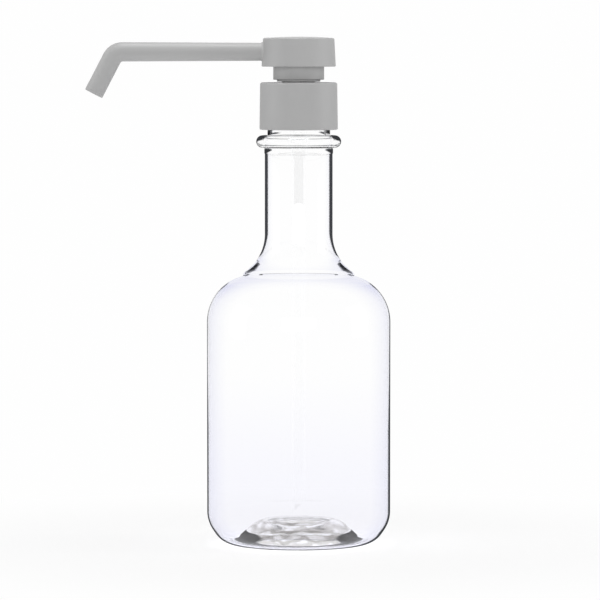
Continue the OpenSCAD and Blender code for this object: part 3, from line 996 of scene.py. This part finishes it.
# %% Clear inner parts
def barely_there(name, tone, least, most, rough):
    """A clear part that hides a least share of what is behind it, and a most at its edges."""
    material, nodes, links = new_material(name)
    place = nodes.new("ShaderNodeTexCoord")
    flow = nodes.new("ShaderNodeTexNoise")
    flow.inputs["Scale"].default_value = 90.0
    links.new(place.outputs["Object"], flow.inputs["Vector"])
    facing = nodes.new("ShaderNodeLayerWeight")
    facing.inputs["Blend"].default_value = 0.5
    hides = nodes.new("ShaderNodeMapRange")
    hides.inputs["From Min"].default_value = 0.4
    hides.inputs["To Min"].default_value = least
    hides.inputs["To Max"].default_value = most
    links.new(facing.outputs["Facing"], hides.inputs["Value"])
    shade = nodes.new("ShaderNodeValToRGB")
    shade.color_ramp.elements[0].color = (*tone, 1)
    shade.color_ramp.elements[1].color = (0.8, 0.82, 0.85, 1)
    links.new(flow.outputs["Fac"], shade.inputs["Fac"])
    body = nodes.new("ShaderNodeBsdfPrincipled")
    body.inputs["Roughness"].default_value = rough
    body.inputs["IOR"].default_value = 1.49
    links.new(shade.outputs["Color"], body.inputs["Base Color"])
    links.new(hides.outputs[0], body.inputs["Alpha"])
    out = nodes.new("ShaderNodeOutputMaterial")
    links.new(body.outputs[0], out.inputs["Surface"])
    return material


thin_clear = barely_there("clear_pump_parts", (0.55, 0.58, 0.62), 0.003, 0.10, 0.2)
clear_glass = barely_there("clear_glass", (0.55, 0.58, 0.61), 0.005, 0.12, 0.05)
print("clear inner parts:", thin_clear.name, clear_glass.name)

# %% Finish of the frame's own parts
def finish_with(node, material):
    """Gives a piece of the frame its finish and leaves its shape as it is."""
    mesh = cad[node].data
    mesh.materials.clear()
    mesh.materials.append(material)
    for slot in cad[node].material_slots:
        slot.material = material


finish_with("head", grey_matte)
# The collar takes the grey with painted light, lighter against its shadowed gap.
finish_with("lock_collar", painted_light_grey)
for node in ("stem", "piston", "valve_pin"):
    finish_with(node, natural)
for node in ("pump_housing", "dip_tube"):
    finish_with(node, thin_clear)
finish_with("inlet_ball", clear_glass)
finish_with("neck_gasket", soft_white)
print("finished in place:", [n for n in cad if n not in ("bottle", "cap", "spout_tube")])

# %% [markdown]
# ## The spring
#
# Under the head a steel spring pushes the pump back up. It is wound from drawn wire, so its gloss
# runs along the wire. The head is locked down here and the coils lie almost on each other. As the
# head rises the spring has to stretch between the collar and the head; here it is built once, at
# rest, and belongs to neither body.

# %% Steel wire
steel, nodes, links = new_material("drawn_steel")
place = nodes.new("ShaderNodeTexCoord")
streak = nodes.new("ShaderNodeTexNoise")
streak.inputs["Scale"].default_value = 900.0
streak.inputs["Detail"].default_value = 2.0
links.new(place.outputs["Object"], streak.inputs["Vector"])
polish = nodes.new("ShaderNodeMapRange")
polish.inputs["To Min"].default_value = 0.18
polish.inputs["To Max"].default_value = 0.36
links.new(streak.outputs["Fac"], polish.inputs["Value"])
metal = nodes.new("ShaderNodeBsdfPrincipled")
metal.inputs["Base Color"].default_value = (0.62, 0.62, 0.63, 1)
metal.inputs["Metallic"].default_value = 1.0
links.new(polish.outputs[0], metal.inputs["Roughness"])
out = nodes.new("ShaderNodeOutputMaterial")
links.new(metal.outputs[0], out.inputs["Surface"])
print("steel ready")

# %% Spring, wound wire
seat_z, spring_top = 195.284, 201.084
coil_r, wire_r, coils = 5.5, 0.4, 5
rise = spring_top - seat_z - 2 * wire_r
rings = []
per_turn, sides = 48, 12
for i in range(coils * per_turn + 1):
    t = i / (coils * per_turn)
    a = 2 * pi * coils * t
    z = seat_z + wire_r + rise * t
    ring = []
    for k in range(sides):
        b = 2 * pi * k / sides
        q = coil_r + wire_r * cos(b)
        ring.append((q * cos(a), q * sin(a), z + wire_r * sin(b)))
    rings.append(ring)
print("wire:", len(rings), "rings")

# %% Spring
points = [p for ring in rings for p in ring]
faces = []
for i in range(len(rings) - 1):
    for k in range(sides):
        n = (k + 1) % sides
        faces.append((i * sides + k, (i + 1) * sides + k, (i + 1) * sides + n, i * sides + n))
faces.append(tuple(range(sides - 1, -1, -1)))
faces.append(tuple((len(rings) - 1) * sides + k for k in range(sides)))
pump_spring = add_mesh("pump_spring", points, faces, 50)
pump_spring.data.materials.append(steel)
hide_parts("return_spring")
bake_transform(pump_spring)
print("spring:", coils, "coils over", round(spring_top - seat_z, 1), "mm")

# %% [markdown]
# ## Size of the frame and of the scene
#
# Dressing a part must not change its size. The last cell prints the box of the frame and the box
# of everything that shows now.

# %% Print the boxes
now_low, now_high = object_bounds()
for name, low, high in (("frame", cad_low, cad_high), ("now", now_low, now_high)):
    print(name, "box", [round(v / MM, 1) for v in high - low], "mm")
